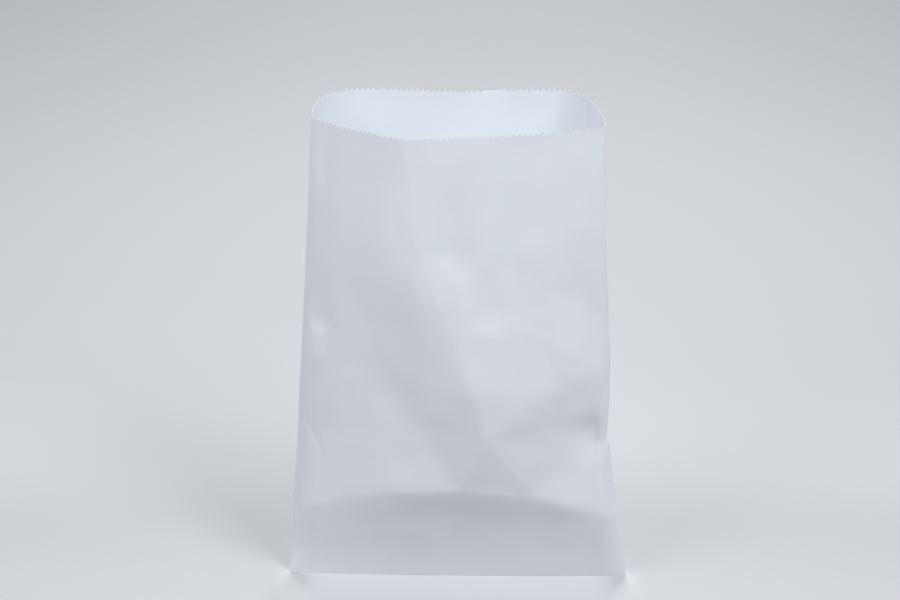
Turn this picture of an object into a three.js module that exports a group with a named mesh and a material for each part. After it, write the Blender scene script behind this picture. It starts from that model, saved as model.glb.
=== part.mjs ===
import * as THREE from 'three';

// Flat merchandise bag of thin white paper, pinched shut at the foot and standing open.
// Millimetres, +Z up, the front panel towards -Y, origin at the middle of the foot on the floor.

// Size of the bag
const BAG_WIDTH = 158.75;
const BAG_HEIGHT = 231;
const PAPER_WALL = 0.12;
const FLOOR_WALL = 0.3;

// Cut rim
const TOOTH_DEPTH = 1.5;
const TEETH_PER_PANEL = 66;
const RIM_BAND = 5;

// Side folds and foot
const FOLD_RADIUS = 0.6;
const FOLD_STEPS = 3;
const FOOT_BOW_FRONT = 1.2;
const FOOT_BOW_BACK = 10.4;
const FOOT_MIDDLE_Y = (FOOT_BOW_BACK - FOOT_BOW_FRONT) / 2;
const SIDE_BEND_DROP = 0.95;

// Glued laps on the back panel
const LAP_LEFT = 0.532;
const LAP_RIGHT = 0.592;
const LAP_LIFT = 0.12;
const LAP_RAMP = 0.003;
const LAP_RIM = 0.5;
const FLAP_HEIGHT = 18;
const FLAP_LIFT = 0.14;
const FLAP_RAMP = 0.6;

// Mesh density
const FRONT_COLUMNS = 40;
const BACK_COLUMNS = 25;
const LOWER_ROW = 6;
const UPPER_ROW = 11;
const LOWER_TOP = 0.5;

// Inset of the side folds as [share of height, share of width]
const LEFT_INSET = [
  [0, 0], [0.134, 0.0094], [0.182, 0.0151], [0.229, 0.022], [0.32, 0.0327], [0.413, 0.041],
  [0.5, 0.051], [0.63, 0.0655], [0.78, 0.08], [0.88, 0.0907], [1, 0.1065],
];
const RIGHT_INSET = [
  [0, 0], [0.061, 0.008], [0.134, 0.0227], [0.182, 0.034], [0.252, 0.0523], [0.287, 0.0573],
  [0.318, 0.064], [0.331, 0.0715], [0.356, 0.0693], [0.39, 0.068], [0.5, 0.07],
  [0.63, 0.0832], [0.716, 0.09], [0.84, 0.0995], [1, 0.114],
];

// How far each panel has sprung open as [share of height, share of the mouth's depth]
const FRONT_OPEN = [
  [0, 0], [0.06, 0.17], [0.12, 0.33], [0.18, 0.49], [0.23, 0.62], [0.26, 0.66], [0.35, 0.68],
  [0.48, 0.7], [0.65, 0.78], [0.82, 0.87], [1, 0.95],
];
const BACK_OPEN = [
  [0, 0], [0.065, 0.26], [0.13, 0.39], [0.195, 0.49], [0.26, 0.58], [0.35, 0.66], [0.48, 0.71],
  [0.65, 0.78], [0.82, 0.87], [1, 0.95],
];

// Mouth seen from above, left fold to right fold, as shares of the width
const MOUTH_FRONT = [
  [-0.392, 0.059], [-0.388, -0.024], [-0.331, -0.084], [-0.26, -0.128], [-0.183, -0.164],
  [-0.101, -0.182], [-0.017, -0.183], [0.067, -0.181], [0.151, -0.169], [0.232, -0.149],
  [0.314, -0.13], [0.362, -0.122], [0.382, -0.098], [0.378, -0.014],
];
const MOUTH_SETBACK = 0.007;
const MOUTH_BACK = [
  [-0.392, 0.059], [-0.372, 0.14], [-0.309, 0.192], [-0.226, 0.199], [-0.142, 0.191],
  [-0.058, 0.181], [0.025, 0.178], [0.108, 0.193], [0.192, 0.197], [0.276, 0.198],
  [0.34, 0.149], [0.363, 0.069], [0.378, -0.014],
];

// Corners of the dent's facets as [share of width, share of height, share of the dent's depth]
const DENT_DEPTH = 7;
const DENT_CORNERS = {
  footLeft: [-0.5, 0, 0],
  footRight: [0.5, 0, 0],
  strip: [0.113, 0.156, 0.9],
  ridgeLeft: [-0.454, 0.173, 0],
  ridgeLeftMiddle: [-0.22, 0.212, -0.1],
  leftTip: [0.007, 0.251, 0.82],
  rightTip: [0.212, 0.242, 0.82],
  ridgeRightMiddle: [0.328, 0.203, -0.18],
  ridgeRight: [0.413, 0.177, -0.1],
  centreTip: [0.086, 0.355, -0.27],
  valleyLeft: [-0.151, 0.498, 0.73],
  valleyLeftTop: [-0.315, 0.727, 0],
  spine: [-0.088, 0.77, 0],
  notch: [0.44, 0.364, 0.9],
  bandRight: [0.416, 0.537, 0],
};

// Facets of the dent, flat between their corners
const DENT_FACETS = [
  ['footLeft', 'footRight', 'strip'], ['footLeft', 'strip', 'ridgeLeftMiddle'],
  ['footLeft', 'ridgeLeftMiddle', 'ridgeLeft'], ['footRight', 'ridgeRight', 'strip'],
  ['ridgeRight', 'ridgeRightMiddle', 'strip'], ['strip', 'ridgeRightMiddle', 'rightTip'],
  ['strip', 'rightTip', 'leftTip'], ['strip', 'leftTip', 'ridgeLeftMiddle'],
  ['leftTip', 'rightTip', 'centreTip'], ['leftTip', 'centreTip', 'valleyLeft'],
  ['centreTip', 'spine', 'valleyLeft'], ['valleyLeft', 'spine', 'valleyLeftTop'],
  ['ridgeLeftMiddle', 'leftTip', 'valleyLeft'], ['ridgeLeft', 'ridgeLeftMiddle', 'valleyLeft'],
  ['ridgeLeft', 'valleyLeft', 'valleyLeftTop'], ['rightTip', 'notch', 'centreTip'],
  ['centreTip', 'notch', 'bandRight'], ['rightTip', 'ridgeRightMiddle', 'notch'],
  ['ridgeRightMiddle', 'ridgeRight', 'notch'], ['centreTip', 'bandRight', 'spine'],
];

// The creases are sharp at these corners and round off away from them
const DENT_TIPS = ['leftTip', 'rightTip', 'centreTip'];
const CREASE_RADIUS = 0.8;
const CREASE_SPREAD = 0.08;
const CREASE_RADIUS_MOST = 8;
const CREASE_SAMPLES = 8;
const DENT_EDGE_FADE = 0.08;
const FOOT_CLEAR = 6;

// Soft raised line from the mouth down to the dent's upper corner
const SPINE = [[-0.14, 1], [-0.1, 0.77], [-0.01, 0.6], [0.086, 0.355]];
const SPINE_LIFT = 2.8;
const SPINE_REACH = 0.26;
const SPINE_RUNOUT = 0.1;

// Smooth curve through [x, y] pairs, read at x
function curveThrough(pairs) {
  const slope = pairs.map((_, i) => {
    const a = pairs[Math.max(i - 1, 0)];
    const b = pairs[Math.min(i + 1, pairs.length - 1)];
    return (b[1] - a[1]) / (b[0] - a[0]);
  });
  return (x) => {
    let i = 0;
    while (i < pairs.length - 2 && x > pairs[i + 1][0]) i += 1;
    const [x0, y0] = pairs[i];
    const [x1, y1] = pairs[i + 1];
    const w = x1 - x0;
    const t = (x - x0) / w;
    if (t > 1) return y1 + slope[i + 1] * (x - x1);
    const h = t * t * (3 - 2 * t);
    const up = t * (1 - t) * (1 - t) * w * slope[i];
    const down = t * t * (1 - t) * w * slope[i + 1];
    return y0 + (y1 - y0) * h + up - down;
  };
}

const leftInset = curveThrough(LEFT_INSET);
const rightInset = curveThrough(RIGHT_INSET);
const frontOpen = curveThrough(FRONT_OPEN);
const backOpen = curveThrough(BACK_OPEN);
const spineLine = curveThrough(SPINE.map(([x, z]) => [z, x]).reverse());
const mouthCurve = {
  front: new THREE.SplineCurve(MOUTH_FRONT.map(([x, y]) => new THREE.Vector2(x, y))),
  back: new THREE.SplineCurve(MOUTH_BACK.map(([x, y]) => new THREE.Vector2(x, y))),
};

// Middles of the side folds in places round the tube
const RIGHT_FOLD = 1.5;
const LEFT_FOLD = 3.5;

const lerp = THREE.MathUtils.lerp;
const clamp = THREE.MathUtils.clamp;
const mouthCache = new Map();

// Point of the mouth outline at share s of a panel
function mouthAt(panel, s) {
  const key = `${panel}${s}`;
  if (!mouthCache.has(key)) mouthCache.set(key, mouthCurve[panel].getPointAt(clamp(s, 0, 1)));
  return mouthCache.get(key);
}

// A dent corner in millimetres: across, up and inwards
function dentCorner(name) {
  const [x, h, push] = DENT_CORNERS[name];
  return [x * BAG_WIDTH, h * BAG_HEIGHT, push * DENT_DEPTH];
}

const dentFacets = DENT_FACETS.map((names) => names.map(dentCorner));
const dentTips = DENT_TIPS.map(dentCorner);

// Push of the facets at a place, flat between their corners and nought outside them
function facetPush(x, z) {
  for (const [a, b, c] of dentFacets) {
    const whole = (b[0] - a[0]) * (c[1] - a[1]) - (c[0] - a[0]) * (b[1] - a[1]);
    const u = ((x - a[0]) * (c[1] - a[1]) - (c[0] - a[0]) * (z - a[1])) / whole;
    const v = ((b[0] - a[0]) * (z - a[1]) - (x - a[0]) * (b[1] - a[1])) / whole;
    if (u >= 0 && v >= 0 && u + v <= 1) return a[2] + u * (b[2] - a[2]) + v * (c[2] - a[2]);
  }
  return 0;
}

// Inward push of the dent at a place on the front panel, its creases rounded off
function dentPush(x, z) {
  const away = Math.min(...dentTips.map((tip) => Math.hypot(x - tip[0], z - tip[1])));
  const radius = Math.min(CREASE_RADIUS + CREASE_SPREAD * away, CREASE_RADIUS_MOST);
  let sum = facetPush(x, z);
  for (let i = 0; i < CREASE_SAMPLES; i += 1) {
    const turn = (2 * Math.PI * i) / CREASE_SAMPLES;
    sum += facetPush(x + radius * Math.cos(turn), z + radius * Math.sin(turn));
  }
  const foot = clamp(z / FOOT_CLEAR, 0, 1);
  return (foot * sum) / (CREASE_SAMPLES + 1);
}

// Outward lift of the soft line above the dent
function spineLift(x, z) {
  const off = Math.abs(x / BAG_WIDTH - spineLine(z / BAG_HEIGHT)) / SPINE_REACH;
  const rise = clamp((z / BAG_HEIGHT - SPINE[SPINE.length - 1][1]) / SPINE_RUNOUT, 0, 1);
  return SPINE_LIFT * rise * Math.max(0, 1 - off);
}

// Extra thickness of the glued laps at a place on the back panel
function lapLift(s, z) {
  const seam = clamp(Math.min(s - LAP_LEFT, LAP_RIGHT - s) / LAP_RAMP + 1, 0, 1);
  const flap = clamp((FLAP_HEIGHT - z) / FLAP_RAMP + 1, 0, 1);
  return Math.max(seam * LAP_LIFT, flap * FLAP_LIFT);
}

// Share of the mouth's opening at a place, the front panel's bend lying lower near the side folds
function openingAt(panel, s, z) {
  const h = z / BAG_HEIGHT;
  if (panel === 'back') return backOpen(h);
  const side = (2 * s - 1) * (2 * s - 1);
  const below = Math.max(0, 1 - h);
  return frontOpen(h * (1 + SIDE_BEND_DROP * side * below * below));
}

// Point of the outer skin, s running from the left fold to the right fold of a panel
function panelPoint(panel, s, z, lapped) {
  const h = z / BAG_HEIGHT;
  const left = (leftInset(h) - 0.5) * BAG_WIDTH;
  const right = (0.5 - rightInset(h)) * BAG_WIDTH;
  const foldLeft = mouthAt(panel, 0);
  const foldRight = mouthAt(panel, 1);
  const mouth = mouthAt(panel, s);
  const open = openingAt(panel, s, z);
  const spread = lerp(s, (mouth.x - foldLeft.x) / (foldRight.x - foldLeft.x), Math.min(open, 1));
  const x = lerp(left, right, spread);
  const fold = lerp(foldLeft.y, foldRight.y, s);
  const seat = (fold + MOUTH_SETBACK) * backOpen(h);
  const middle = (seat + (mouth.y - fold) * open) * BAG_WIDTH;
  const bow = 4 * s * (1 - s) * (1 - clamp(open, 0, 1));
  const edge = clamp(Math.min(s, 1 - s) / DENT_EDGE_FADE, 0, 1);
  let y = middle + FOLD_RADIUS + FOOT_BOW_BACK * bow + (lapped ? lapLift(s, z) : 0);
  if (panel === 'front') {
    y = middle - FOLD_RADIUS - FOOT_BOW_FRONT * bow + edge * (dentPush(x, z) - spineLift(x, z));
  }
  return new THREE.Vector3(x, y - FOOT_MIDDLE_Y, z);
}

// Point on the rounded side fold, turn running from 0 at the first panel to 1 at the next
function foldPoint(side, turn, z) {
  const s = side === 'right' ? 1 : 0;
  const from = panelPoint('front', s, z, false);
  const to = panelPoint('back', s, z, false);
  const point = from.clone().lerp(to, (1 - Math.cos(Math.PI * turn)) / 2);
  const tight = 1 - clamp(backOpen(z / BAG_HEIGHT), 0, 1);
  const bulge = FOLD_RADIUS * Math.sin(Math.PI * turn) * tight;
  point.x += side === 'right' ? bulge : -bulge;
  return point;
}

// Places round the tube: front panel left to right, right fold, back panel, left fold
function aroundPoint(t, z, lapped) {
  if (t <= 1) return panelPoint('front', t, z, lapped);
  if (t < 2) return foldPoint('right', t - 1, z);
  if (t <= 3) return panelPoint('back', 3 - t, z, lapped);
  return foldPoint('left', 4 - t, z);
}

// Outward direction of the sheet at a place round the tube
function outward(t, z, level) {
  const dt = 0.004;
  const dz = 1;
  const wrap = (v) => (v + 4) % 4;
  const a = aroundPoint(wrap(t - dt), z, false);
  const b = aroundPoint(wrap(t + dt), z, false);
  const low = aroundPoint(t, Math.max(0, z - dz), false);
  const high = aroundPoint(t, z + dz, false);
  const along = b.sub(a);
  const up = level ? new THREE.Vector3(0, 0, 1) : high.sub(low);
  return along.cross(up).normalize();
}

// Column places of the body
function bodyPlaces() {
  const places = [];
  for (let i = 0; i <= FRONT_COLUMNS; i += 1) places.push(i / FRONT_COLUMNS);
  for (let i = 1; i < FOLD_STEPS; i += 1) places.push(1 + i / FOLD_STEPS);
  const back = [LAP_LEFT - LAP_RAMP, LAP_LEFT, LAP_RIGHT, LAP_RIGHT + LAP_RAMP];
  const gap = 0.6 / BACK_COLUMNS;
  for (let i = 0; i <= BACK_COLUMNS; i += 1) {
    const s = i / BACK_COLUMNS;
    if (back.every((lap) => Math.abs(lap - s) > gap / 2)) back.push(s);
  }
  back.sort((p, q) => q - p);
  back.forEach((s) => places.push(3 - s));
  for (let i = 1; i < FOLD_STEPS; i += 1) places.push(3 + i / FOLD_STEPS);
  return places;
}

// Row heights of the body, closer together round the dent
function bodyHeights() {
  const heights = [0];
  const lowerTop = LOWER_TOP * BAG_HEIGHT;
  const top = BAG_HEIGHT - RIM_BAND;
  const lower = Math.round((lowerTop - FLAP_HEIGHT) / LOWER_ROW);
  const upper = Math.round((top - lowerTop) / UPPER_ROW);
  for (let i = 1; i < 3; i += 1) heights.push((FLAP_HEIGHT * i) / 3);
  heights.push(FLAP_HEIGHT);
  heights.push(FLAP_HEIGHT + FLAP_RAMP);
  for (let i = 1; i <= lower; i += 1) heights.push(lerp(FLAP_HEIGHT, lowerTop, i / lower));
  for (let i = 1; i <= upper; i += 1) heights.push(lerp(lowerTop, top, i / upper));
  return heights;
}

// Rim places: tooth roots and tips in turn along each panel, the glued lap standing level
function rimPlaces() {
  const rim = [];
  const steps = 2 * TEETH_PER_PANEL;
  for (let i = 0; i <= steps; i += 1) rim.push({ t: i / steps, tip: i % 2 });
  rim.push({ t: RIGHT_FOLD, tip: 1 });
  for (let i = 0; i <= steps; i += 1) {
    const s = 1 - i / steps;
    const lapped = s > LAP_LEFT && s < LAP_RIGHT;
    rim.push({ t: 3 - s, tip: lapped ? LAP_RIM : i % 2 });
  }
  rim.push({ t: LEFT_FOLD, tip: 1 });
  return rim;
}

// Mesh under construction: vertex list and triangle list
class Sheet {
  constructor() {
    this.positions = [];
    this.triangles = [];
  }

  add(point) {
    this.positions.push(point.x, point.y, point.z);
    return this.positions.length / 3 - 1;
  }

  // Triangles between two closed rings whose entries carry a place t
  join(lower, upper, flipped) {
    let i = 0;
    let j = 0;
    const n = lower.length;
    const m = upper.length;
    const place = (ring, k) => (k < ring.length ? ring[k].t : ring[k - ring.length].t + 4);
    while (i < n || j < m) {
      const a = lower[i % n].id;
      const b = upper[j % m].id;
      const stepLower = j >= m || (i < n && place(lower, i + 1) <= place(upper, j + 1) + 1e-9);
      const c = stepLower ? lower[(i + 1) % n].id : upper[(j + 1) % m].id;
      this.triangles.push(...(flipped ? [a, b, c] : [a, c, b]));
      if (stepLower) i += 1;
      else j += 1;
    }
  }

  // Flat cap over a closed ring
  cap(ring, facingDown) {
    const outline = ring.map(({ id }) => {
      return new THREE.Vector2(this.positions[3 * id], this.positions[3 * id + 1]);
    });
    THREE.ShapeUtils.triangulateShape(outline, []).forEach(([a, b, c]) => {
      const [p, q, r] = [ring[a].id, ring[b].id, ring[c].id];
      this.triangles.push(...(facingDown ? [p, r, q] : [p, q, r]));
    });
  }

  geometry() {
    const made = new THREE.BufferGeometry();
    made.setAttribute('position', new THREE.Float32BufferAttribute(this.positions, 3));
    made.setIndex(this.triangles);
    made.computeVertexNormals();
    return made;
  }
}

// One ring of vertices on the outer or inner skin
function skinRing(sheet, places, inner) {
  return places.map(({ t, z }) => {
    const point = aroundPoint(t, z, !inner);
    if (inner) {
      point.addScaledVector(outward(t, z, z === 0), -PAPER_WALL);
      if (z === 0) point.z = FLOOR_WALL;
    }
    return { t, id: sheet.add(point) };
  });
}

// Whole bag: outer skin, inner skin, cut rim between them and the foot closed below
function bagGeometry() {
  const sheet = new Sheet();
  const columns = bodyPlaces();
  const heights = bodyHeights();
  const rim = rimPlaces().map(({ t, tip }) => ({ t, z: BAG_HEIGHT + tip * TOOTH_DEPTH }));
  const skins = [false, true].map((inner) => {
    const rings = heights.map((z) => skinRing(sheet, columns.map((t) => ({ t, z })), inner));
    rings.push(skinRing(sheet, rim, inner));
    for (let k = 1; k < rings.length; k += 1) sheet.join(rings[k - 1], rings[k], inner);
    sheet.cap(rings[0], !inner);
    return rings;
  });
  sheet.join(skins[0][skins[0].length - 1], skins[1][skins[1].length - 1], false);
  return sheet.geometry();
}

function whitePaper() {
  return new THREE.MeshStandardMaterial({ color: 0xf1f3f8, roughness: 0.62, metalness: 0 });
}

function buildBag() {
  const bag = new THREE.Mesh(bagGeometry(), whitePaper());
  bag.name = 'bag_sheet';
  return bag;
}

const group = new THREE.Group();
group.name = 'merchandise_bag';
group.add(buildBag());

export default group;
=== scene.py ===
import math

import bpy
import numpy as np
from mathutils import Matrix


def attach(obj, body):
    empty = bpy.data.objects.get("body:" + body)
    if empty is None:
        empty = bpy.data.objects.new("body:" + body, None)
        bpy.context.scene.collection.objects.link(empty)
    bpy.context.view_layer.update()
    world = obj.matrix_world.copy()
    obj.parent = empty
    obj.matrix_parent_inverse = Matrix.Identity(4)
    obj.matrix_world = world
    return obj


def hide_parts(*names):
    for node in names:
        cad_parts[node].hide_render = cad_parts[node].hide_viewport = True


# Flat white paper merchandise bag standing open on a pale floor, in the part's own frame.
# The bag is worked out in millimetres and turned into metres with its mesh. The rest is in metres.

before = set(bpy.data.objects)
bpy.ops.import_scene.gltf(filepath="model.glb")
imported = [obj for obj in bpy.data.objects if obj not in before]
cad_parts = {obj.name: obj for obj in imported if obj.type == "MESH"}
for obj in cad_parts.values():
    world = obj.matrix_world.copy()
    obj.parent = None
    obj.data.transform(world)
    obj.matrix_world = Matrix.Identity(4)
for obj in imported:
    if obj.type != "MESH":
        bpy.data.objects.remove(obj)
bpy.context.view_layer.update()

MM = 0.001

# Size of the bag, millimetres
BAG_WIDTH = 158.75
BAG_HEIGHT = 231.0
PAPER_WALL = 0.12
FLOOR_WALL = 0.3
TOOTH_DEPTH = 1.5
TEETH_PER_PANEL = 66
FOLD_RADIUS = 0.6
FOOT_BOW_FRONT = 1.2
FOOT_BOW_BACK = 10.4
FOOT_MIDDLE_Y = (FOOT_BOW_BACK - FOOT_BOW_FRONT) / 2

# Fineness of the mesh: rows up the bag, steps round a side fold, and the share of a tooth's rise
# that the row under the rim takes
ROWS = 150
FOLD_STEPS = 4
TOOTH_SHARE_BELOW = 0.25

# Glued lap down the back panel: its edges, the ramp beside them and the share of a tooth that its
# rim keeps are shares, and its lift is in millimetres
LAP_LEFT = 0.532
LAP_RIGHT = 0.592
LAP_RAMP = 0.003
LAP_RIM = 0.5
LAP_LIFT = 0.12

# Flap turned up behind the foot, millimetres
FLAP_HEIGHT = 18.0
FLAP_LIFT = 0.14
FLAP_RAMP = 0.6

# Inset of the side folds as (share of height, share of width)
LEFT_INSET = [
    (0, 0), (0.134, 0.0094), (0.182, 0.0151), (0.229, 0.022), (0.32, 0.0327), (0.413, 0.041),
    (0.5, 0.051), (0.63, 0.0655), (0.78, 0.08), (0.88, 0.0907), (1, 0.1065),
]
RIGHT_INSET = [
    (0, 0), (0.061, 0.008), (0.134, 0.0227), (0.182, 0.034), (0.252, 0.0523), (0.287, 0.0573),
    (0.318, 0.064), (0.331, 0.0715), (0.356, 0.0693), (0.39, 0.068), (0.5, 0.07),
    (0.63, 0.0832), (0.716, 0.09), (0.84, 0.0995), (1, 0.114),
]

# How far each panel has sprung open as (share of height, share of the mouth's depth). Towards its
# side folds the front panel opens lower down, by SIDE_BEND_DROP.
FRONT_OPEN = [
    (0, 0), (0.06, 0.17), (0.12, 0.33), (0.18, 0.49), (0.25, 0.685), (0.265, 0.697), (0.35, 0.7),
    (0.48, 0.71), (0.65, 0.78), (0.82, 0.87), (1, 0.95),
]
SIDE_BEND_DROP = 1.05
BACK_OPEN = [
    (0, 0), (0.065, 0.26), (0.13, 0.39), (0.195, 0.49), (0.26, 0.58), (0.35, 0.66), (0.48, 0.71),
    (0.65, 0.78), (0.82, 0.87), (1, 0.95),
]

# Mouth seen from above, left fold to right fold, and how far it stands back from the foot, as
# shares of the width
MOUTH_FRONT = [
    (-0.392, 0.059), (-0.388, -0.024), (-0.331, -0.084), (-0.26, -0.128), (-0.183, -0.164),
    (-0.101, -0.182), (-0.017, -0.183), (0.067, -0.181), (0.151, -0.169), (0.232, -0.149),
    (0.314, -0.13), (0.362, -0.122), (0.382, -0.098), (0.378, -0.014),
]
MOUTH_BACK = [
    (-0.392, 0.059), (-0.372, 0.14), (-0.309, 0.192), (-0.226, 0.199), (-0.142, 0.191),
    (-0.058, 0.181), (0.025, 0.178), (0.108, 0.193), (0.192, 0.197), (0.276, 0.198),
    (0.34, 0.149), (0.363, 0.069), (0.378, -0.014),
]
MOUTH_SETBACK = 0.007

# Steps between two points of the mouth when its length is measured
MOUTH_STEPS_PER_SPAN = 40

# Corners of the dent's facets as (share of width, share of height, share of the dent's depth),
# with the names that the part's source gives them
DENT_DEPTH = 7.0
DENT_CORNERS = {
    "footLeft": (-0.5, 0, 0),
    "footRight": (0.5, 0, 0),
    "strip": (0.113, 0.156, 0.25),
    "ridgeLeft": (-0.454, 0.173, 0.1),
    "ridgeLeftMiddle": (-0.22, 0.212, 0.1),
    "leftTip": (0.007, 0.258, -0.2),
    "rightTip": (0.212, 0.247, -0.2),
    "ridgeRightMiddle": (0.328, 0.203, -0.1),
    "ridgeRight": (0.413, 0.177, 0),
    "centreTip": (0.086, 0.385, -1.25),
    "valleyLeft": (-0.2, 0.49, 0.62),
    "valleyLeftTop": (-0.33, 0.75, 0),
    "spine": (-0.088, 0.77, 0),
    "notch": (0.44, 0.368, 0.8),
    "bandRight": (0.416, 0.56, -0.38),
}
DENT_FACETS = [
    ("footLeft", "footRight", "strip"), ("footLeft", "strip", "ridgeLeftMiddle"),
    ("footLeft", "ridgeLeftMiddle", "ridgeLeft"), ("footRight", "ridgeRight", "strip"),
    ("ridgeRight", "ridgeRightMiddle", "strip"), ("strip", "ridgeRightMiddle", "rightTip"),
    ("strip", "rightTip", "leftTip"), ("strip", "leftTip", "ridgeLeftMiddle"),
    ("leftTip", "rightTip", "centreTip"), ("leftTip", "centreTip", "valleyLeft"),
    ("centreTip", "spine", "valleyLeft"), ("valleyLeft", "spine", "valleyLeftTop"),
    ("ridgeLeftMiddle", "leftTip", "valleyLeft"), ("ridgeLeft", "ridgeLeftMiddle", "valleyLeft"),
    ("ridgeLeft", "valleyLeft", "valleyLeftTop"), ("rightTip", "notch", "centreTip"),
    ("centreTip", "notch", "bandRight"), ("rightTip", "ridgeRightMiddle", "notch"),
    ("ridgeRightMiddle", "ridgeRight", "notch"), ("centreTip", "bandRight", "spine"),
]

# The dent's creases are sharpest at its tips. Away from them the push is averaged over a ring whose
# radius grows with the distance, millimetres.
DENT_TIPS = ("leftTip", "rightTip", "centreTip")
CREASE_RADIUS = 0.8
CREASE_SPREAD = 0.14
CREASE_RADIUS_MOST = 13.0
CREASE_SAMPLES = 24

# Every push fades out towards the side folds over this share of the panel's width. The dent fades
# out towards the foot over this height in millimetres, and the slack waves fade in above it.
DENT_EDGE_FADE = 0.08
FOOT_CLEAR = 6.0

# Soft raised line from the mouth down to the dent's centre tip as (share of height, share of
# width), its lift in millimetres, and the shares of the width and height that it fades over
SPINE = [(0.385, 0.082), (0.6, -0.01), (0.77, -0.1), (1, -0.14)]
SPINE_LIFT = 3.8
SPINE_REACH = 0.24
SPINE_RUNOUT = 0.1

# Small tilted patches: place across and up, half width, half height, and how far the paper is
# pushed in from their left to their right side and from their foot to their top, millimetres.
# Above its top a patch fades out again over PATCH_FADE half heights.
PATCHES = [
    (-2.5, 171, 14, 8, 1.2, 2.8), (13.4, 144, 13, 6, 0.6, 1.7), (55, 131, 16, 28, 4.5, 2.6),
    (-65, 202, 10, 11, -0.6, -2.8), (-62.5, 134, 11, 5, 0.0, 1.7), (-67, 114, 9, 7, 0.0, -2.2),
    (58, 75, 11, 7, 1.2, 2.6), (57, 90, 12, 5, 0.0, -1.8), (-22, 150, 18, 26, -2.0, -0.6),
]
PATCH_FADE = 5

# Fine folds: both ends across and up, half width and depth, millimetres
FINE_FOLDS = [
    (-73, 92, -58, 62, 2.4, 0.6), (-30, 205, -22, 178, 2.4, 0.3),
]

# Slack waves of the thin sheet: length in millimetres, direction in degrees and phase
WAVES = [
    (41, 20, 0.3), (33, 75, 1.9), (27, 130, 4.1), (21, 48, 2.6), (17, 102, 5.2), (13, 160, 0.9),
]
WAVE_SLOPE = 0.016

# Paper: its two tints and the reach of the cloudy noise between them, the share of the light that
# goes on through each skin, its noises, and its surface
PAPER_TINTS = ((0.93, 0.94, 0.965, 1), (0.95, 0.965, 0.985, 1))
TINT_REACH = (0.3, 0.7)
SHEET_LIGHT = 0.24
CLOUDS = {"Scale": 55.0, "Detail": 5.0, "Roughness": 0.6}
FIBRES = {"Scale": 900.0, "Detail": 3.0, "Roughness": 0.7}
FIBRE_STRENGTH = 0.12
FIBRE_HEIGHT = 0.0002
PAPER_ROUGHNESS = 0.55
PAPER_SHEEN = 0.35

# Floor: its lightness by how far behind the bag it lies, metres, which holds painted shade: a painted
# shadow dip just behind the bag and the light falling off far behind it. Also the share of that
# lightness in its red, green and blue
FLOOR_SIZE = 8
FLOOR_FRONT = -0.05
FLOOR_BACK = 1.05
FLOOR_SHADES = [
    (-0.02, 0.478), (0.0, 0.468), (0.03, 0.447), (0.055, 0.46), (0.085, 0.5), (0.13, 0.515),
    (0.2, 0.468), (0.3, 0.458), (0.46, 0.454), (0.67, 0.415), (0.9, 0.382),
]
FLOOR_TINT = (1.015, 1.0, 1.005)
FLOOR_ROUGHNESS = 0.7
FLOOR_SHEEN = 0.2

# Painted light: brighter floor just before the bag, standing in for the light that the white front
# panel throws on it
GLOW_SHADE = 0.76
GLOW_SIDE = (0.062, 0.09)
GLOW_FRONT = (-0.06, -0.02)
GLOW_BEHIND = (-0.005, 0.004)

# Painted shade: the floor darkens to the sides, where the light falls off
SIDE_REACH = (0.05, 0.5)
SIDE_SHADE = 0.88

# Lamps: name, place, size, power in watts and colour. All aim at one point in the bag.
LAMPS = [
    ("key", (1.3, -1.1, 2.0), 1.0, 28.0, (0.89, 0.98, 1.0)),
    ("fill", (-1.3, -1.0, 1.6), 1.0, 12.0, (0.88, 0.99, 1.0)),
    ("rear", (0.0, 1.2, 2.0), 1.4, 43.0, (0.88, 0.985, 1.0)),
]
LAMP_AIM = (0, 0, 0.1)
SKY_COLOUR = (0.96, 0.9, 1.0, 1)
SKY_STRENGTH = 0.43

# Camera: lens and sensor in millimetres, angles in degrees, place in metres from the middle of the
# foot's front edge
LENS = 75.0
SENSOR_WIDTH = 36
PITCH_DOWN = 25.5
TURN = 1.1
BEHIND = 0.7503
ABOVE = 0.5031
ASIDE = -0.0036
FOOT_FRONT_Y = -0.0060


def curve_through(pairs):
    """Smooth curve through (x, y) pairs, read at an array of x."""
    p = np.array(pairs, float)
    last = len(p) - 1
    before = np.maximum(np.arange(len(p)) - 1, 0)
    after = np.minimum(np.arange(len(p)) + 1, last)
    slope = (p[after, 1] - p[before, 1]) / (p[after, 0] - p[before, 0])

    def read(x):
        i = np.clip(np.searchsorted(p[:, 0], x, side="left") - 1, 0, last - 1)
        w = p[i + 1, 0] - p[i, 0]
        t = (x - p[i, 0]) / w
        h = t * t * (3 - 2 * t)
        up = t * (1 - t) * (1 - t) * w * slope[i]
        down = t * t * (1 - t) * w * slope[i + 1]
        inside = p[i, 1] + (p[i + 1, 1] - p[i, 1]) * h + up - down
        return np.where(t > 1, p[last, 1] + slope[last] * (x - p[last, 0]), inside)

    return read


def even_spline(points):
    """Catmull-Rom curve through plan points, read at shares of its length."""
    p = np.array(points, float)
    t = np.linspace(0, len(p) - 1, MOUTH_STEPS_PER_SPAN * (len(p) - 1))
    i = np.minimum(t.astype(int), len(p) - 2)
    w = (t - i)[:, None]
    p0, p1 = p[np.maximum(i - 1, 0)], p[i]
    p2, p3 = p[i + 1], p[np.minimum(i + 2, len(p) - 1)]
    v0, v1 = (p2 - p0) / 2, (p3 - p1) / 2
    cubic = (2 * p1 - 2 * p2 + v0 + v1) * w**3 + (-3 * p1 + 3 * p2 - 2 * v0 - v1) * w**2
    curve = cubic + v0 * w + p1
    run = np.concatenate([[0], np.cumsum(np.linalg.norm(np.diff(curve, axis=0), axis=1))])
    run = run / run[-1]
    return lambda s: (np.interp(s, run, curve[:, 0]), np.interp(s, run, curve[:, 1]))


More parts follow.
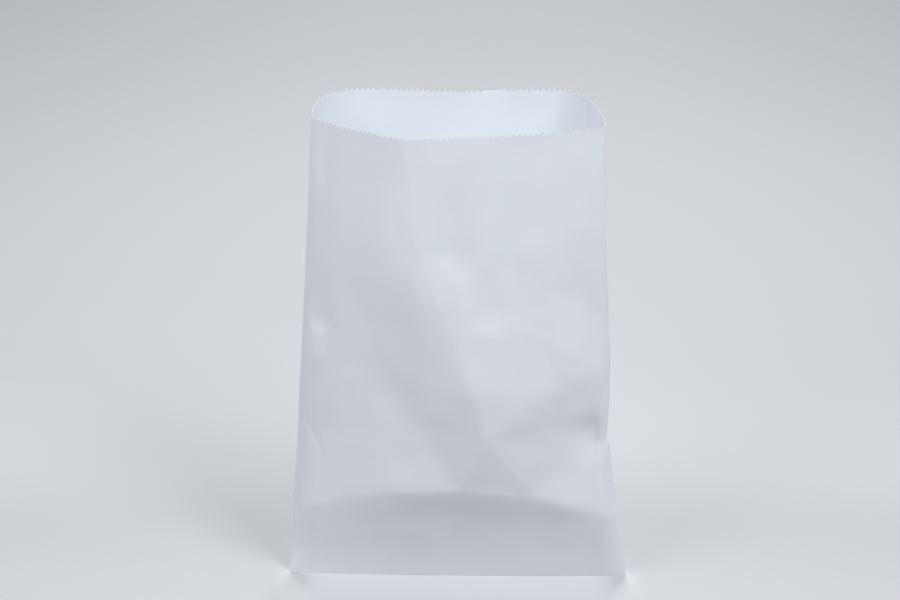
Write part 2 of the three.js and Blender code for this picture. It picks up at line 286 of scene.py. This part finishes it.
left_inset = curve_through(LEFT_INSET)
right_inset = curve_through(RIGHT_INSET)
front_open = curve_through(FRONT_OPEN)
back_open = curve_through(BACK_OPEN)
spine_line = curve_through(SPINE)
mouth = {"front": even_spline(MOUTH_FRONT), "back": even_spline(MOUTH_BACK)}


def dent_corner(name):
    """Place across and up and the push of one corner of the dent, millimetres."""
    x, h, push = DENT_CORNERS[name]
    return x * BAG_WIDTH, h * BAG_HEIGHT, push * DENT_DEPTH


def facet_push(x, z):
    """Push of the facets, flat between their corners and nought outside them."""
    push = np.zeros_like(x)
    todo = np.ones(x.shape, bool)
    for names in DENT_FACETS:
        a, b, c = (dent_corner(name) for name in names)
        whole = (b[0] - a[0]) * (c[1] - a[1]) - (c[0] - a[0]) * (b[1] - a[1])
        u = ((x - a[0]) * (c[1] - a[1]) - (c[0] - a[0]) * (z - a[1])) / whole
        v = ((b[0] - a[0]) * (z - a[1]) - (x - a[0]) * (b[1] - a[1])) / whole
        hit = todo & (u >= 0) & (v >= 0) & (u + v <= 1)
        push[hit] = (a[2] + u * (b[2] - a[2]) + v * (c[2] - a[2]))[hit]
        todo &= ~hit
    return push


def distance_to_tips(x, z):
    """Distance to the nearest of the dent's tips."""
    tips = [dent_corner(name) for name in DENT_TIPS]
    return np.min([np.hypot(x - tip_x, z - tip_z) for tip_x, tip_z, _ in tips], axis=0)


def dent_push(x, z):
    """Inward push of the dent, its creases rounded off away from the tips."""
    radius = np.minimum(CREASE_RADIUS + CREASE_SPREAD * distance_to_tips(x, z), CREASE_RADIUS_MOST)
    total = facet_push(x, z)
    for i in range(CREASE_SAMPLES):
        turn = 2 * math.pi * i / CREASE_SAMPLES
        total = total + facet_push(x + radius * math.cos(turn), z + radius * math.sin(turn))
    return np.clip(z / FOOT_CLEAR, 0, 1) * total / (CREASE_SAMPLES + 1)


def spine_lift(x, z):
    """Outward lift of the raised line, in a straight slope down to both of its sides."""
    off = np.abs(x / BAG_WIDTH - spine_line(z / BAG_HEIGHT)) / SPINE_REACH
    rise = np.clip((z / BAG_HEIGHT - SPINE[0][0]) / SPINE_RUNOUT, 0, 1)
    return SPINE_LIFT * rise * np.maximum(0, 1 - off)


def tilted_patch_push(x, z):
    """Push of the small tilted patches of the front panel."""
    push = np.zeros_like(x)
    for middle_x, middle_z, half_width, half_height, across, up in PATCHES:
        u = (x - middle_x) / half_width
        v = (z - middle_z) / half_height
        dome = np.maximum(0, 1 - u * u - v * v)
        t = np.clip((v + 1) / 2, 0, 1)
        rise = t * t * (3 - 2 * t) * np.clip(1 - (v - 1) / PATCH_FADE, 0, 1)
        push += across * u * dome**2 + up * rise * np.maximum(0, 1 - u * u) ** 2
    return push


def fine_fold_push(x, z):
    """Push of the fine folds of the front panel, deepest at the middle of each."""
    push = np.zeros_like(x)
    for x0, z0, x1, z1, half_width, depth in FINE_FOLDS:
        run = np.array([x1 - x0, z1 - z0])
        t = np.clip(((x - x0) * run[0] + (z - z0) * run[1]) / (run @ run), 0, 1)
        off = np.hypot(x - x0 - t * run[0], z - z0 - t * run[1]) / half_width
        push += depth * np.sin(math.pi * t) * np.maximum(0, 1 - off)
    return push


def wave_push(x, z):
    """Slack waves, each with the same steepness."""
    push = np.zeros_like(x)
    for length, degrees, phase in WAVES:
        turn = math.radians(degrees)
        way = 2 * math.pi * (x * math.cos(turn) + z * math.sin(turn)) / length
        push += WAVE_SLOPE * length / (2 * math.pi) * np.sin(way + phase)
    return push * np.clip(z / FOOT_CLEAR - 1, 0, 1)


def seam_share(s):
    """One over the glued lap and nought beside it, at shares of the back panel's width."""
    return np.clip(np.minimum(s - LAP_LEFT, LAP_RIGHT - s) / LAP_RAMP + 1, 0, 1)


def lap_lift(s, z):
    """How far the glued lap or the foot's flap stands out of the back panel."""
    flap = np.clip((FLAP_HEIGHT - z) / FLAP_RAMP + 1, 0, 1)
    return np.maximum(seam_share(s) * LAP_LIFT, flap * FLAP_LIFT)


def opening_at(panel, s, z):
    """How far a panel has sprung open, as a share of the mouth's depth."""
    h = z / BAG_HEIGHT
    if panel == "back":
        return back_open(h)
    below = np.maximum(0, 1 - h)
    return front_open(h * (1 + SIDE_BEND_DROP * (2 * s - 1) ** 2 * below * below))


def panel_point(panel, s, z, lapped):
    """Point of the outer skin, s running from the left fold to the right fold of a panel.

    The lap and flap only count where lapped is set.
    """
    h = z / BAG_HEIGHT
    left = (left_inset(h) - 0.5) * BAG_WIDTH
    right = (0.5 - right_inset(h)) * BAG_WIDTH
    fold_left, fold_right = mouth[panel](0.0), mouth[panel](1.0)
    mouth_x, mouth_y = mouth[panel](s)
    opened = opening_at(panel, s, z)
    share = np.minimum(opened, 1)
    spread = s * (1 - share) + (mouth_x - fold_left[0]) / (fold_right[0] - fold_left[0]) * share
    x = left + (right - left) * spread
    fold = fold_left[1] * (1 - s) + fold_right[1] * s
    seat = (fold + MOUTH_SETBACK) * back_open(h)
    middle = (seat + (mouth_y - fold) * opened) * BAG_WIDTH
    bow = 4 * s * (1 - s) * (1 - np.clip(opened, 0, 1))
    edge = np.clip(np.minimum(s, 1 - s) / DENT_EDGE_FADE, 0, 1)
    if panel == "front":
        small = tilted_patch_push(x, z) + fine_fold_push(x, z)
        push = dent_push(x, z) + small + wave_push(x, z) - spine_lift(x, z)
        y = middle - FOLD_RADIUS - FOOT_BOW_FRONT * bow + edge * push
    else:
        y = middle + FOLD_RADIUS + FOOT_BOW_BACK * bow + (lap_lift(s, z) if lapped else 0)
        y = y + edge * wave_push(x + BAG_WIDTH, z)
    return np.stack([x, y - FOOT_MIDDLE_Y, z], -1)


def fold_point(side, turn, z):
    """Point of the outer skin round a side fold, turn running from nought to one round it."""
    s = np.full_like(z, 1.0 if side == "right" else 0.0)
    start = panel_point("front", s, z, False)
    end = panel_point("back", s, z, False)
    point = start + (end - start) * ((1 - np.cos(math.pi * turn)) / 2)[..., None]
    tight = 1 - np.clip(back_open(z / BAG_HEIGHT), 0, 1)
    bulge = FOLD_RADIUS * np.sin(math.pi * turn) * tight
    point[..., 0] += bulge if side == "right" else -bulge
    return point


def fold_columns(first):
    """Columns inside a side fold as (place, share of a tooth), the tooth at the fold's middle."""
    steps = range(1, FOLD_STEPS)
    return [(first + i / FOLD_STEPS, 1 - abs(2 * i / FOLD_STEPS - 1)) for i in steps]


def tube_places():
    """Places of the columns round the tube, and the share of a tooth that each one ends in.

    The front panel runs from 0 to 1, the right fold to 2, the back panel to 3 and the left fold
    to 4. Roots and tips of the teeth take turns on each panel.
    """
    steps = 2 * TEETH_PER_PANEL
    front = [(i / steps, i % 2) for i in range(steps + 1)]
    back = []
    for i in range(steps + 1):
        s = 1 - i / steps
        back.append((3 - s, LAP_RIM if LAP_LEFT < s < LAP_RIGHT else i % 2))
    columns = np.array(front + fold_columns(1) + back + fold_columns(3), float)
    return columns[:, 0], columns[:, 1]


def skin(places, z, lapped):
    """Points of the outer skin on a grid of rows by columns."""
    points = np.zeros(z.shape + (3,))
    t = np.broadcast_to(places, z.shape)
    front, right = t <= 1, (t > 1) & (t < 2)
    back, left = (t >= 2) & (t <= 3), t > 3
    points[front] = panel_point("front", t[front], z[front], lapped)
    points[right] = fold_point("right", t[right] - 1, z[right])
    points[back] = panel_point("back", 3 - t[back], z[back], lapped)
    points[left] = fold_point("left", 4 - t[left], z[left])
    return points


def grid_normals(points):
    """Outward unit normals of a grid that closes round its columns."""
    along = np.roll(points, -1, axis=1) - np.roll(points, 1, axis=1)
    up = np.gradient(points, axis=0)
    normal = np.cross(along, up)
    return normal / np.linalg.norm(normal, axis=-1, keepdims=True)


def skin_grids():
    """Outer and inner skin as grids of points, rows by columns, millimetres."""
    places, tips = tube_places()
    level = np.linspace(0, BAG_HEIGHT, ROWS + 1)
    z = np.repeat(level[:, None], len(places), axis=1)
    z[-1] += tips * TOOTH_DEPTH
    z[-2] += tips * TOOTH_DEPTH * TOOTH_SHARE_BELOW
    outer = skin(places, z, True)
    plain = skin(places, z, False)
    thickness = PAPER_WALL + seam_share(3 - places) * LAP_LIFT
    inner = plain - grid_normals(plain) * thickness[None, :, None]
    inner[0, :, 2] = FLOOR_WALL
    return outer, inner


def tube_faces(rows, cols):
    """Faces of both skins, the rim that joins them and the two floors of the foot."""
    faces = []
    inside = rows * cols
    for r in range(rows - 1):
        for c in range(cols):
            d = (c + 1) % cols
            a, b = r * cols + c, r * cols + d
            faces.append((a, b, b + cols, a + cols))
            faces.append((inside + a, inside + a + cols, inside + b + cols, inside + b))
    top = (rows - 1) * cols
    for c in range(cols):
        d = (c + 1) % cols
        faces.append((top + c, top + d, inside + top + d, inside + top + c))
    faces.append(tuple(reversed(range(cols))))
    faces.append(tuple(inside + c for c in range(cols)))
    return faces


def mark_sharp_rings(mesh, starts, cols):
    """Sharp edges along the rings of vertices that begin at these numbers."""
    crisp = np.zeros(len(mesh.vertices), bool)
    for start in starts:
        crisp[start:start + cols] = True
    ends = np.zeros(len(mesh.edges) * 2, int)
    mesh.edges.foreach_get("vertices", ends)
    sharp = mesh.attributes.new("sharp_edge", "BOOLEAN", "EDGE")
    sharp.data.foreach_set("value", crisp[ends.reshape(-1, 2)].all(axis=1))


def bag_mesh():
    """The bag as one closed mesh, sharp at the foot and along the rim."""
    outer, inner = skin_grids()
    rows, cols = outer.shape[:2]
    verts = np.concatenate([outer.reshape(-1, 3), inner.reshape(-1, 3)]) * MM
    mesh = bpy.data.meshes.new("paper_bag")
    mesh.from_pydata([tuple(v) for v in verts], [], tube_faces(rows, cols))
    mesh.validate()
    mesh.update()
    top, inside = (rows - 1) * cols, rows * cols
    mark_sharp_rings(mesh, (0, top, inside, inside + top), cols)
    return mesh


def node(tree, kind, **inputs):
    """New node with its inputs set, an underscore standing for a space in their names."""
    made = tree.nodes.new(kind)
    for name, value in inputs.items():
        made.inputs[name.replace("_", " ")].default_value = value
    return made


def ranged(tree, source, reach, low=0.0, high=1.0):
    """Value that runs from low to high as the source runs over its reach, eased at both ends."""
    made = tree.nodes.new("ShaderNodeMapRange")
    made.interpolation_type = "SMOOTHSTEP"
    for name, value in zip(("From Min", "From Max", "To Min", "To Max"), (*reach, low, high)):
        made.inputs[name].default_value = value
    tree.links.new(source, made.inputs["Value"])
    return made.outputs["Result"]


def math_node(tree, operation, first, second=None):
    """Result of one arithmetic step on one or two values."""
    made = tree.nodes.new("ShaderNodeMath")
    made.operation = operation
    tree.links.new(first, made.inputs[0])
    if second is not None:
        tree.links.new(second, made.inputs[1])
    return made.outputs[0]


def paper_material():
    """Thin white machine-glazed paper: a soft sheen, cloudy fibre and some light through the sheet."""
    mat = bpy.data.materials.new("white_paper")
    mat.use_nodes = True
    tree = mat.node_tree
    tree.nodes.clear()
    link = tree.links.new
    coords = tree.nodes.new("ShaderNodeTexCoord")
    clouds = node(tree, "ShaderNodeTexNoise", **CLOUDS)
    fibres = node(tree, "ShaderNodeTexNoise", **FIBRES)
    link(coords.outputs["Object"], clouds.inputs["Vector"])
    link(coords.outputs["Object"], fibres.inputs["Vector"])
    tint = tree.nodes.new("ShaderNodeValToRGB")
    for stop, place, colour in zip(tint.color_ramp.elements, TINT_REACH, PAPER_TINTS):
        stop.position = place
        stop.color = colour
    link(clouds.outputs["Fac"], tint.inputs["Fac"])
    bump = node(tree, "ShaderNodeBump", Strength=FIBRE_STRENGTH, Distance=FIBRE_HEIGHT)
    link(fibres.outputs["Fac"], bump.inputs["Height"])
    paper = node(tree, "ShaderNodeBsdfPrincipled", Roughness=PAPER_ROUGHNESS)
    paper.inputs["Specular IOR Level"].default_value = PAPER_SHEEN
    link(tint.outputs["Color"], paper.inputs["Base Color"])
    link(bump.outputs["Normal"], paper.inputs["Normal"])
    through = tree.nodes.new("ShaderNodeBsdfTranslucent")
    link(tint.outputs["Color"], through.inputs["Color"])
    mix = node(tree, "ShaderNodeMixShader", Fac=SHEET_LIGHT)
    link(paper.outputs[0], mix.inputs[1])
    link(through.outputs[0], mix.inputs[2])
    out = tree.nodes.new("ShaderNodeOutputMaterial")
    link(mix.outputs[0], out.inputs["Surface"])
    return mat


def painted_floor_shading(tree, behind):
    """Colour of the floor by how far behind the bag it lies, with painted shade: a shadow dip just
    behind the bag and darker far behind.
    """
    place = tree.nodes.new("ShaderNodeMapRange")
    place.inputs["From Min"].default_value = FLOOR_FRONT
    place.inputs["From Max"].default_value = FLOOR_BACK
    tree.links.new(behind, place.inputs["Value"])
    ramp = tree.nodes.new("ShaderNodeValToRGB")
    ramp.color_ramp.interpolation = "B_SPLINE"
    stops = ramp.color_ramp.elements
    ready = len(stops)
    for k, (y, shade) in enumerate(FLOOR_SHADES):
        at = (y - FLOOR_FRONT) / (FLOOR_BACK - FLOOR_FRONT)
        stop = stops[k] if k < ready else stops.new(at)
        stop.position = at
        stop.color = (*(shade * part for part in FLOOR_TINT), 1)
    tree.links.new(place.outputs["Result"], ramp.inputs["Fac"])
    return ramp.outputs["Color"]


def painted_glow_share(tree, aside, behind):
    """One on the strip of painted light on the floor just before the bag, and nought away from it."""
    near = ranged(tree, aside, GLOW_SIDE, 1, 0)
    ahead = ranged(tree, behind, GLOW_FRONT)
    short_of_bag = ranged(tree, behind, GLOW_BEHIND, 1, 0)
    strip = math_node(tree, "MULTIPLY", ahead, short_of_bag)
    return math_node(tree, "MULTIPLY", near, strip)


def floor_material():
    """Pale grey studio floor with light and shade painted into its colour by the place on it."""
    mat = bpy.data.materials.new("floor")
    mat.use_nodes = True
    tree = mat.node_tree
    link = tree.links.new
    surface = tree.nodes["Principled BSDF"]
    surface.inputs["Roughness"].default_value = FLOOR_ROUGHNESS
    surface.inputs["Specular IOR Level"].default_value = FLOOR_SHEEN
    coords = tree.nodes.new("ShaderNodeTexCoord")
    split = tree.nodes.new("ShaderNodeSeparateXYZ")
    link(coords.outputs["Object"], split.inputs[0])
    behind = split.outputs["Y"]
    aside = math_node(tree, "ABSOLUTE", split.outputs["X"])
    glow = node(tree, "ShaderNodeMixRGB", Color2=(GLOW_SHADE, GLOW_SHADE, GLOW_SHADE, 1))
    link(painted_glow_share(tree, aside, behind), glow.inputs["Fac"])
    link(painted_floor_shading(tree, behind), glow.inputs["Color1"])
    sides = tree.nodes.new("ShaderNodeVectorMath")
    sides.operation = "SCALE"
    link(glow.outputs["Color"], sides.inputs[0])
    link(ranged(tree, aside, SIDE_REACH, 1, SIDE_SHADE), sides.inputs["Scale"])
    link(sides.outputs["Vector"], surface.inputs["Base Color"])
    return mat


def make_bag():
    """The bag, riding on the part's only body in place of its plain solid."""
    bag = bpy.data.objects.new("paper_bag", bag_mesh())
    bpy.context.scene.collection.objects.link(bag)
    bag.data.materials.append(paper_material())
    bag.data.polygons.foreach_set("use_smooth", [True] * len(bag.data.polygons))
    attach(bag, "root")
    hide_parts("bag_sheet")


def make_floor():
    """Floor under the bag, wide enough to fill the view."""
    bpy.ops.mesh.primitive_plane_add(size=FLOOR_SIZE, location=(0, 0, 0))
    floor = bpy.context.object
    floor.name = "floor"
    floor.data.materials.append(floor_material())


def area_light(name, place, size, power, colour):
    """Round soft lamp that aims at the bag."""
    data = bpy.data.lights.new(name, "AREA")
    data.shape = "DISK"
    data.size = size
    data.energy = power
    data.color = colour
    light = bpy.data.objects.new(name, data)
    bpy.context.scene.collection.objects.link(light)
    light.location = place
    away = np.array(place) - np.array(LAMP_AIM)
    flat = math.hypot(away[0], away[1])
    light.rotation_euler = (math.atan2(flat, away[2]), 0, math.atan2(away[0], -away[1]))


def make_lights():
    """The lamps and the even light of the room."""
    for lamp in LAMPS:
        area_light(*lamp)
    world = bpy.data.worlds.new("studio")
    bpy.context.scene.world = world
    world.use_nodes = True
    sky = world.node_tree.nodes["Background"]
    sky.inputs["Color"].default_value = SKY_COLOUR
    sky.inputs["Strength"].default_value = SKY_STRENGTH


def make_camera():
    """Camera at the photo's view: pitched down, and turned a little round the bag."""
    data = bpy.data.cameras.new("camera")
    data.lens = LENS
    data.sensor_width = SENSOR_WIDTH
    camera = bpy.data.objects.new("camera", data)
    bpy.context.scene.collection.objects.link(camera)
    turn = math.radians(TURN)
    camera.location = (
        ASIDE * math.cos(turn) + BEHIND * math.sin(turn),
        FOOT_FRONT_Y - BEHIND * math.cos(turn) + ASIDE * math.sin(turn),
        ABOVE,
    )
    camera.rotation_euler = (math.radians(90 - PITCH_DOWN), 0, turn)
    bpy.context.scene.camera = camera


make_bag()
make_floor()
make_lights()
make_camera()
bpy.context.scene.view_settings.view_transform = "Standard"
